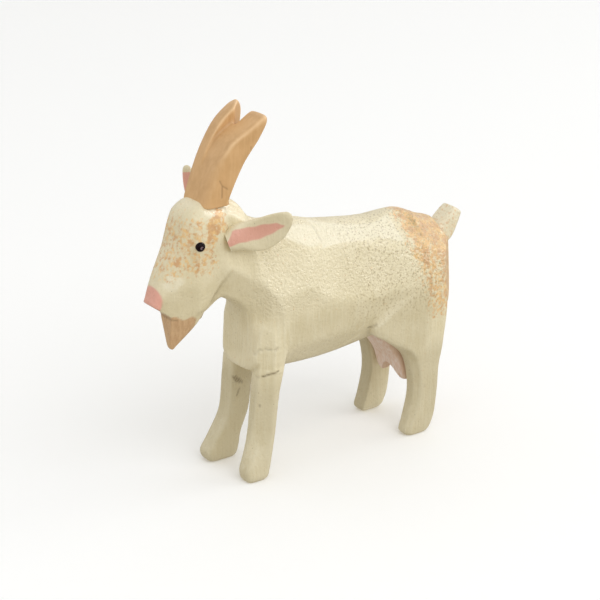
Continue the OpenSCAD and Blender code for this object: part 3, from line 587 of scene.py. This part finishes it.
def cream_finish():
    """Brushed cream paint with tan dry-brushing, a pink nose, a brown beard and dark stippling."""
    material, add = make_material("cream_paint")
    mm = in_mm(add)
    upright = add("Mapping", {"Vector": mm, "Scale": (1.5, 1.5, 0.10)}).outputs[0]
    broad, fine, hair = noise(add, mm, 0.16, 4.0), noise(add, mm, 1.7, 3.0), noise(add, upright, 1.0, 4.0)
    # Two creams, lighter where the paint is thick, with pale streaks low down and pits between the dabs
    colour = mixed(add, ramp(add, broad, 0.35, 0.7), rgb(235, 224, 191), rgb(226, 214, 178))
    colour = mixed(add, times(add, layer(add, "rough"), 0.4), colour, rgb(246, 235, 202))
    streaks = times(add, ramp(add, hair, 0.42, 0.72), layer(add, "streak"))
    colour = mixed(add, times(add, streaks, 0.5), colour, rgb(242, 234, 205))
    pits = times(add, ramp(add, fine, 0.42, 0.28), times(add, layer(add, "rough"), 0.4))
    colour = mixed(add, pits, colour, rgb(206, 193, 152))
    # Pale paint on worn edges, chips and the muzzle, and painted highlights on the bevels and the crown
    colour = mixed(add, times(add, layer(add, "worn"), 0.5), colour, rgb(249, 243, 220))
    # Tan brushed on nearly dry catches the tops of the grain
    dry = plus(add, noise(add, mm, 1.1, 4.0, 0.62), times(add, layer(add, "tan"), 0.36))
    tan = ramp(add, dry, 0.63, 0.86)
    shade = mixed(add, ramp(add, noise(add, mm, 0.5, 2.0), 0.4, 0.6),
                  rgb(212, 161, 108), rgb(236, 192, 127))
    colour = mixed(add, times(add, tan, 0.85), colour, shade)
    # The pink of nose and ears, and the brown of the beard
    colour = mixed(add, layer(add, "pink"), colour, rgb(234, 174, 156))
    brushed = mixed(add, ramp(add, hair, 0.35, 0.65), rgb(216, 180, 138), rgb(203, 165, 124))
    colour = mixed(add, layer(add, "brown"), colour, brushed)
    # Fine brown stipple towards the rump, a few dark specks, painted shade in the hollows, on the legs and
    # on the low flank, and dark in the cracks, with painted shade at the mouth and the ear's root
    spots = times(add, ramp(add, noise(add, mm, 2.1, 2.5), 0.47, 0.35), layer(add, "stipple"))
    colour = mixed(add, times(add, spots, 0.62), colour, rgb(168, 148, 106))
    rare = add("TexVoronoi", {"Vector": mm, "Scale": 0.42}, feature="F1").outputs["Distance"]
    colour = mixed(add, times(add, ramp(add, rare, 0.06, 0.03), 0.5), colour, rgb(120, 105, 84))
    colour = mixed(add, times(add, layer(add, "grime"), 0.6), colour, rgb(150, 136, 100))
    colour = mixed(add, times(add, layer(add, "crack"), 0.7), colour, rgb(96, 74, 44))
    peel = times(add, fine, plus(add, times(add, layer(add, "rough"), 0.7), 0.3))
    relief = plus(add, peel, times(add, hair, 0.4))
    return coated(material, add, colour, relief, strength=0.7, depth=0.0007,
                  roughness=spread(add, fine, 0.2, 0.4))


cream = cream_finish()


def kept_faces(mesh, name, keep):
    """A copy of the mesh with only the faces whose middles pass the test, each open end closed flat."""
    work = bmesh.new()
    work.from_mesh(mesh)
    bmesh.ops.bisect_plane(work, geom=[*work.verts, *work.edges, *work.faces], dist=1e-7,
                           plane_co=(0, 0, SEAT_Z * MM), plane_no=(0, 0, 1))
    middles = np.array([face.calc_center_median() for face in work.faces]) / MM - SET_BACK
    drop = [face for face, stays in zip(list(work.faces), keep(middles)) if not stays]
    bmesh.ops.delete(work, geom=drop, context="FACES")
    rim = [edge for edge in work.edges if edge.is_boundary]
    bmesh.ops.holes_fill(work, edges=rim, sides=0)
    for edge in rim:
        edge.smooth = False
    part = bpy.data.meshes.new(name)
    work.to_mesh(part)
    work.free()
    return part


def in_legs(middles):
    """Whether each place lies below the leg seats, before or behind the belly and clear of the beard."""
    x, z = middles[:, 0], middles[:, 2]
    belly_front, belly_back = -11.5, 14.2
    return (z < SEAT_Z) & ((x < belly_front) | (x > belly_back)) & (x > behind_beard)


pieces = {"body": lambda m: ~in_legs(m)}
for fore, end in ((True, "fore"), (False, "hind")):
    for left, hand in ((True, "left"), (False, "right")):
        pieces[f"{end}leg_{hand}"] = lambda m, fore=fore, left=left: (
            in_legs(m) & ((m[:, 0] < 0) == fore) & ((m[:, 1] < 0) == left))
for node, keep in pieces.items():
    part = piece_of(node + "_carved", kept_faces(carved, node + "_carved", keep))
    part.data.materials.append(cream)
    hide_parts(node)
    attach(part, "root")
bpy.data.meshes.remove(carved)


# Horns
# One block for both horns, let into the crown on a dowel. The left half is cut down to a lower front,
# which leaves a step beside the right horn, and a groove at the back parts the tips. Tan paint,
# rubbed light on the ridges.

horn_ribs = [
    [-25.62, 67.1, -32.62, 67.1, 4.9, 0.5, 0.34, 0.34],
    [-25.62, 68.6, -32.62, 68.6, 4.9, 0.5, 0.34, 0.34],
    [-22.11, 75.62, -28.98, 77.18, 5.3, 0.5, 0.34, 0.34],
    [-17.82, 81.08, -24.82, 83.62, 5.65, 0.5, 0.36, 0.36],
    [-15.74, 84.59, -20.79, 86.93, 5.9, 0.5, 0.5, 0.5],
    [-16.39, 86.15, -18.46, 88.1, 5.43, 0.5, 0.7, 0.7],
]
step_y, groove_x, groove_y, groove_long, groove_angle = 1.3, -21.6, 0.39, 14, 42
left_front = smooth_rows([
    [-31.19, 73.32], [-29.76, 75.43], [-28.46, 77.52], [-27.03, 79.45], [-25.73, 81.02], [-23.65, 82.43],
    [-21.05, 83.82], [-18.84, 85.23], [-17.15, 86.1], [-15.98, 85.75], [-15.33, 84.53]], count=61)
# The wood above that front, as a band from outside the block to the step
outside, above = -12, 24
over = np.stack([np.stack([left_front[:, 0], np.full(len(left_front), y), left_front[:, 1] + up], -1)
                 for y, up in ((outside, 0), (step_y, 0), (step_y, above), (outside, above))], 1)
slant = groove_long * np.tan(np.radians(groove_angle))
groove = np.array([[0, 0], [groove_long, 0], [groove_long, slant]]) + np.array([groove_x, groove_y])
groove_grid = np.stack([np.column_stack([groove, np.full(3, z)]) for z in (68.6, 90.0)])
horn_block = closed_skin(rib_surface(horn_ribs, rings=101, sides=96))
horn_mesh = finished("horns", mesh_of("horns", horn_block),
                     cutters=[mesh_of("left_cut", closed_skin(over)),
                              mesh_of("groove", closed_skin(groove_grid))], grain=0.22, passes=9)
# The tip of the left horn is rubbed round
points = points_of(horn_mesh)
mean = neighbours(horn_mesh)[2]
rubs, tips = 30, (0.5 * step(points[:, 2], 80.0, 84.5) * step(points[:, 1], 2.0, -0.5))[:, None]
for _ in range(rubs):
    points = points + tips * (mean(points) - points)
unsteady, highest = 0.08, 88.0
points = points + unsteady * waves(points, length=3.5, seed=21)[:, None] * np.array([0.6, 0.6, 0.3])
points[:, 2] = np.minimum(points[:, 2], highest)
set_points(horn_mesh, points)
# Drying cracks above the foot and a nick near the tip, on the left side
crack_deep, crack, left = 0.12, np.zeros(len(points)), step(points[:, 1], -3.0, -4.0)
for line in [[(-29.0, 73.2), (-28.4, 72.0), (-27.0, 71.0)], [(-28.4, 72.0), (-28.4, 69.2)],
             [(-21.0, 79.6), (-20.9, 79.0)]]:
    crack = np.maximum(crack, 0.7 * left * along_line(points, line, width=0.15))
points = points - crack_deep * crack[:, None] * normals_of(horn_mesh)
set_points(horn_mesh, points)
bend = bends(horn_mesh, passes=9)
ridge = step(points[:, 2] + 0.6 * np.minimum(points[:, 1], step_y), 74.0, 76.5)
# Pale worn ridges, and painted shade in the hollows and the groove
paint(horn_mesh, worn=(14 * bend - 0.25) * (0.25 + 0.75 * ridge), grime=-7 * bend, crack=crack)


def horn_finish():
    """Tan paint over carved wood, brushed along the horn, with pale ridges."""
    material, add = make_material("horn_paint")
    mm = in_mm(add)
    along = add("Mapping", {"Vector": mm, "Rotation": (0, 0.62, 0), "Scale": (1.3, 1.3, 0.16)}).outputs[0]
    broad, fine, hair = noise(add, mm, 0.2, 4.0), noise(add, mm, 2.4, 3.0), noise(add, along, 1.0, 4.0)
    colour = mixed(add, ramp(add, broad, 0.3, 0.7), rgb(217, 174, 122), rgb(203, 160, 108))
    colour = mixed(add, times(add, ramp(add, hair, 0.4, 0.7), 0.4), colour, rgb(224, 184, 134))
    colour = mixed(add, layer(add, "worn"), colour, rgb(240, 203, 155))
    # Painted shade in the hollows
    colour = mixed(add, times(add, layer(add, "grime"), 0.6), colour, rgb(158, 116, 72))
    colour = mixed(add, times(add, layer(add, "crack"), 0.7), colour, rgb(110, 76, 46))
    relief = plus(add, times(add, fine, 0.5), times(add, hair, 0.5))
    return coated(material, add, colour, relief, strength=0.3, depth=0.0002,
                  roughness=spread(add, fine, 0.38, 0.58))


horns = piece_of("horns_carved", horn_mesh)
horns.data.materials.append(horn_finish())
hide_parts("horns")
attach(horns, "root")


# Ears
# Two hollowed leaves of wood on round roots, plugged into the cheeks. Cream outside, with a pink
# leaf brushed into the hollow. The left ear lies back and the right one stands up.

ear_long, ear_root_at, ear_inset = 15.2, np.array([-26.29, 6.33, 59.59]), 1.4
# The left ear is pared off at this distance from the middle of the goat
ear_out = 13.43


def ear_grid(width, sag):
    """A leaf along x: its section is an ellipse whose front half is pressed in by the hollow times the
    square of the sine, and its middle line bends down by the sag."""
    root, thick, dip = 4.6, 2.6, 1.3
    rows = smooth_rows([
        [0, root / 2, root / 2, 0, 0],
        [0.17 * ear_long, 0.42 * width, 0.42 * root, 0.2 * dip, 0],
        [0.45 * ear_long, width / 2, thick / 2, dip, 1],
        [0.75 * ear_long, 0.84 * width / 2, 0.42 * thick, 0.8 * dip, 0.7],
        [0.94 * ear_long, 0.46 * width / 2, 0.3 * thick, 0.2 * dip, -0.1],
        [ear_long, 0.16 * width / 2, 0.12 * thick, 0, -0.4],
    ], count=81)[:, None, :]
    turn = np.linspace(0, 2 * np.pi, 96, endpoint=False)[None]
    s, c = np.sin(turn), np.cos(turn)
    y = rows[..., 2] * s - rows[..., 3] * np.maximum(0, s) ** 2
    z = rows[..., 1] * c - sag * rows[..., 4]
    return np.stack([np.broadcast_to(rows[..., 0], y.shape), y, z], -1), s, c


# Name, degrees back and up, width, sag, side, how much darker the whole ear is painted, and the lower and
# upper edges of the pink leaf across the ear, at these shares of its length
shares = [0.0, 0.12, 0.25, 0.6, 0.76, 0.87, 0.93]
for name, back, up, width, sag, hand, darkening, leaf_low, leaf_top in (
        ("ear_left", 58, 20, 7.6, 1.0, -1, 0.2, -0.24, [0.3, 0.75, 0.7, 0.5, 0.25, -0.3, -0.3]),
        ("ear_right", -4, 64, 6.4, 0.0, 1, 0.0, -1.2, [1.2, 1.2, 1.2, 1.2, 1.2, 1.2, -1.2])):
    grid, s, c = ear_grid(width, sag)
    across = c + 0.02 * np.sin(2.1 * grid[..., 0])
    top = np.interp(grid[..., 0] / ear_long, shares, leaf_top)
    edge = 0.06
    leaf = step(across, leaf_low - edge, leaf_low + edge) * step(top - across, -edge, edge)
    leaf = leaf * step(s, -0.05, 0.1)
    lift, turn = np.radians(up), np.radians(90 - back)
    p = grid - np.array([ear_inset, 0, 0])
    p = np.stack([p[..., 0] * np.cos(lift) - p[..., 2] * np.sin(lift), p[..., 1],
                  p[..., 0] * np.sin(lift) + p[..., 2] * np.cos(lift)], -1)
    p = np.stack([p[..., 0] * np.cos(turn) - p[..., 1] * np.sin(turn),
                  p[..., 0] * np.sin(turn) + p[..., 1] * np.cos(turn), p[..., 2]], -1)
    p = np.minimum(p + ear_root_at, [np.inf, ear_out, np.inf])
    mesh = mesh_of(name + "_carved", closed_skin(p * np.array([1, hand, 1])))
    bend = bends(mesh, passes=3)
    zero = np.zeros(len(mesh.vertices))
    # Painted shade in the hollows, and the left ear painted darker all over
    paint(mesh, tan=zero, brown=zero, stipple=zero, streak=zero + 0.3, rough=zero, crack=zero,
          worn=2 * bend, grime=darkening - bend, pink=np.concatenate([leaf.ravel(), [0, 0]]))
    ear = piece_of(name + "_carved", mesh)
    ear.data.materials.append(cream)
    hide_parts(name)
    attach(ear, "root")


# Tail
# A short stub of the same wood with a flat cut end, raised a little and let into the rump on a dowel.
# It is painted with the body, with less tan.

tail_ribs = [
    [40.97, 52.9, 43.17, 51.24, 2.2, 0.5, 0.5, 0.5],
    [40.49, 52.63, 42.98, 50.62, 2.61, 0.5, 0.5, 0.5],
    [38.69, 51.2, 41.74, 48.03, 2.9, 0.5, 0.5, 0.5],
    [37.09, 49.89, 40.31, 45.31, 2.9, 0.5, 0.5, 0.5],
    [34.96, 48.4, 38.18, 43.82, 2.9, 0.5, 0.5, 0.5],
]
tail_stub = closed_skin(rib_surface(tail_ribs, rings=61, sides=72))
tail_mesh = finished("tail", mesh_of("tail_carved", tail_stub), grain=0.26, passes=2)
bend = bends(tail_mesh)
zero = np.zeros(len(tail_mesh.vertices))
# Painted shade in the hollows
paint(tail_mesh, tan=zero + 0.4, brown=zero, pink=zero, stipple=zero + 0.3, streak=zero + 0.3,
      rough=zero + 0.6, crack=zero, worn=5 * bend + 0.8, grime=-5 * bend)
tail = piece_of("tail_carved", tail_mesh)
tail.data.materials.append(cream)
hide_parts("tail")
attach(tail, "root")


# Udder
# A tapered block of the same wood, glued under the belly on a dowel. An arch is cut out between its two
# teats, and it is painted a dusty pink.

udder_rows = [
    [12.4, 23.8, 25.8, -4.93, 4.93, 0.6],
    [14.0, 23.0, 27.0, -5.6, 5.6, 0.5],
    [18.11, 21.6, 28.0, -5.6, 5.6, 0.4],
    [22.19, 18.74, 29.4, -5.6, 5.6, 0.45],
    [26.0, 16.4, 30.4, -5.6, 5.6, 0.5],
]
# The arch is a parabola below its top, drawn out to the sides
arch_top, arch_drop, arch_wide = 15.8, 3.4, 3.472
arch_y = np.linspace(-1.44, 1.44, 25)
arch = np.column_stack([arch_wide * arch_y, arch_top - arch_drop * arch_y ** 2])
arch_grid = np.stack([np.column_stack([np.full(len(arch), end), arch]) for end in (16.0, 32.0)])
udder_block = closed_skin(level_surface(udder_rows, rings=61, sides=84))
udder_mesh = finished("udder", mesh_of("udder_carved", udder_block),
                      cutters=[mesh_of("arch", closed_skin(arch_grid))], grain=0.26, passes=3)
bend = bends(udder_mesh)
# Painted shade: brown on the sides that face the thighs, and dark in the hollows
paint(udder_mesh, worn=5 * bend, grime=-5 * bend,
      brown=step(np.abs(normals_of(udder_mesh)[:, 1]), 0.3, 0.7))


def udder_finish():
    """Dusty pink paint, brushed on thinly downwards, with painted shade browning the sides that face the
    thighs and darkening the hollows.
    """
    material, add = make_material("udder_paint")
    mm = in_mm(add)
    down = add("Mapping", {"Vector": mm, "Scale": (1.5, 1.5, 0.2)}).outputs[0]
    fine, hair = noise(add, mm, 2.0, 3.0), noise(add, down, 1.0, 4.0)
    colour = mixed(add, ramp(add, hair, 0.3, 0.7), rgb(238, 220, 211), rgb(222, 190, 168))
    # Painted shade, browner on the sides and darker in the hollows
    colour = mixed(add, times(add, layer(add, "brown"), 0.6), colour, rgb(206, 170, 134))
    colour = mixed(add, times(add, layer(add, "worn"), 0.5), colour, rgb(236, 212, 204))
    colour = mixed(add, times(add, layer(add, "grime"), 0.6), colour, rgb(150, 112, 98))
    return coated(material, add, colour, fine, strength=0.3, depth=0.0002,
                  roughness=spread(add, fine, 0.38, 0.58))


udder = piece_of("udder_carved", udder_mesh)
udder.data.materials.append(udder_finish())
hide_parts("udder")
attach(udder, "root")


# Eyes
# Two pins with domed heads, pressed into drilled holes in the cheeks and lacquered black. The lacquer is
# glossy, with a mauve crescent painted on as a highlight.

def eye_finish(x, z):
    """Black lacquer that pooled a little unevenly, with a mauve crescent painted on as a highlight under
    the middle, which is at this x and z in millimetres: inside one circle and outside another beside it."""
    material, add = make_material("eye_gloss")
    mm = in_mm(add)
    pool = noise(add, mm, 1.5, 2.0)
    colour = mixed(add, ramp(add, pool, 0.35, 0.7), rgb(14, 4, 8), rgb(32, 14, 22))
    flat = add("VectorMath", {0: mm, 1: (1.0, 0.0, 1.0)}, operation="MULTIPLY").outputs[0]
    rounds = [add("VectorMath", {0: flat, 1: (x + off, 0.0, z + down)},
                  operation="DISTANCE").outputs["Value"] for off, down in ((-0.05, -0.12), (0.2, -0.24))]
    # A painted highlight: a mauve crescent on the black
    crescent = times(add, ramp(add, rounds[0], 0.46, 0.3), ramp(add, rounds[1], 0.16, 0.34))
    colour = mixed(add, times(add, crescent, 0.4), colour, rgb(176, 150, 158))
    return coated(material, add, colour, pool, strength=0.2, depth=0.0001,
                  roughness=spread(add, pool, 0.10, 0.24), **{"Specular IOR Level": 0.1})


# The middle of the dome is taken from its outermost half millimetre
dome_cap = 0.5
dome = points_of(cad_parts["eye_left"].data) + SET_BACK
dome = dome[dome[:, 1] < dome[:, 1].min() + dome_cap].mean(0)
lacquer = eye_finish(dome[0], dome[2])
for name in ("eye_left", "eye_right"):
    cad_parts[name].data.materials.clear()
    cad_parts[name].data.materials.append(lacquer)


# Dowels
# Seven round pins of bare birch, each glued half into the body and half into a leg, the horns, the tail
# or the udder. None of them shows.

def dowel_finish():
    """Bare wood with fine grain along the pin."""
    material, add = make_material("bare_wood")
    grain = add("Mapping", {"Vector": in_mm(add), "Scale": (2.4, 2.4, 0.2)}).outputs[0]
    hair = noise(add, grain, 1.0, 5.0)
    colour = mixed(add, ramp(add, hair, 0.35, 0.7), rgb(222, 190, 142), rgb(190, 150, 100))
    return coated(material, add, colour, hair, strength=0.3, depth=0.0002, roughness=0.6)


birch = dowel_finish()
for name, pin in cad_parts.items():
    if "dowel" in name:
        pin.data.materials.clear()
        pin.data.materials.append(birch)


# Studio
# A plain white table. A large soft lamp stands over the camera and another behind the tail, a small one
# over the tail only gives gloss, and the room's light is warm and weaker from below.

def stage_finish():
    """White card with a faint tooth."""
    material, add = make_material("white_card")
    tooth = noise(add, add("TexCoord").outputs["Object"], 400.0, 3.0)
    colour = mixed(add, tooth, rgb(250, 250, 249), rgb(246, 246, 245))
    shader = add("BsdfPrincipled", {"Base Color": colour, "Roughness": 0.8, "Specular IOR Level": 0.2,
                                    "Emission Color": rgb(255, 255, 255), "Emission Strength": 0.07})
    add("OutputMaterial", {0: shader.outputs[0]})
    return material


floor_mesh, half = bpy.data.meshes.new("table"), 3
floor_mesh.from_pydata([(-half, -half, 0), (half, -half, 0), (half, half, 0), (-half, half, 0)], [],
                       [(0, 1, 2, 3)])
table = piece_of("table", floor_mesh)
table.data.materials.append(stage_finish())
# The table throws no light back up, so the undersides keep their shade
table.visible_diffuse = table.visible_glossy = False


def aim(name, data, at, target):
    """An object of that data at a place in metres, looking at a target, upright."""
    back = np.subtract(at, target) / np.linalg.norm(np.subtract(at, target))
    right = np.cross((0, 0, 1), back)
    right /= np.linalg.norm(right)
    thing = bpy.data.objects.new(name, data)
    bpy.context.scene.collection.objects.link(thing)
    turned = np.eye(4)
    turned[:3] = np.stack([right, np.cross(back, right), back, at], -1)
    thing.matrix_world = Matrix(turned.tolist())
    return thing


# Name, size in metres, strength, and the place from the middle of the goat
middle = np.array([0, 0, 0.045])
for name, size, energy, place in (
        ("window", 0.14, 2.4, (0.483, -0.07, 0.49)), ("screen", 1.0, 4.2, (0, -0.85, 0.85)),
        ("door", 0.8, 3.0, (1.0, -0.35, 0.25))):
    lamp = bpy.data.lights.new(name, "AREA")
    lamp.shape, lamp.size, lamp.energy = "SQUARE", size, energy
    aim(name, lamp, middle + place, middle).visible_diffuse = name != "window"

# The room is dim and warm below, bright at the height of the goat and dimmer overhead
world = bpy.data.worlds.new("room")
bpy.context.scene.world = world
world.use_nodes = True
room = world.node_tree
way = room.nodes.new("ShaderNodeTexCoord")
height = room.nodes.new("ShaderNodeSeparateXYZ")
share = room.nodes.new("ShaderNodeMapRange")
share.inputs["From Min"].default_value = -1.0
fall = room.nodes.new("ShaderNodeValToRGB")
below, level, above = (0.55, 0.51, 0.43, 1.0), (0.90, 0.90, 0.89, 1.0), (0.62, 0.62, 0.62, 1.0)
fall.color_ramp.elements[0].color, fall.color_ramp.elements[1].color = below, above
for place, colour in ((0.46, below), (0.54, level), (0.75, level)):
    fall.color_ramp.elements.new(place).color = colour
room.links.new(way.outputs["Generated"], height.inputs[0])
room.links.new(height.outputs["Z"], share.inputs["Value"])
room.links.new(share.outputs["Result"], fall.inputs["Fac"])
room.links.new(fall.outputs["Color"], room.nodes["Background"].inputs["Color"])
bpy.context.scene.view_settings.view_transform = "Standard"

# The camera stands 450 mm away at the photograph's angle, and its picture is 600 pixels wide
turn, rise, away = np.radians(-35.8), np.radians(21.3), 450.0
film, pixels_to_mm, picture = 36.0, 4.283, 600
look_at = np.array([-3.8, 0, 38.1]) + SET_BACK
back = np.array([np.sin(turn) * np.cos(rise), -np.cos(turn) * np.cos(rise), np.sin(rise)])
lens = bpy.data.cameras.new("camera")
lens.sensor_width, lens.lens, lens.clip_start = film, film * pixels_to_mm * away / picture, 0.01
bpy.context.scene.camera = aim("camera", lens, (look_at + away * back) * MM, look_at * MM)
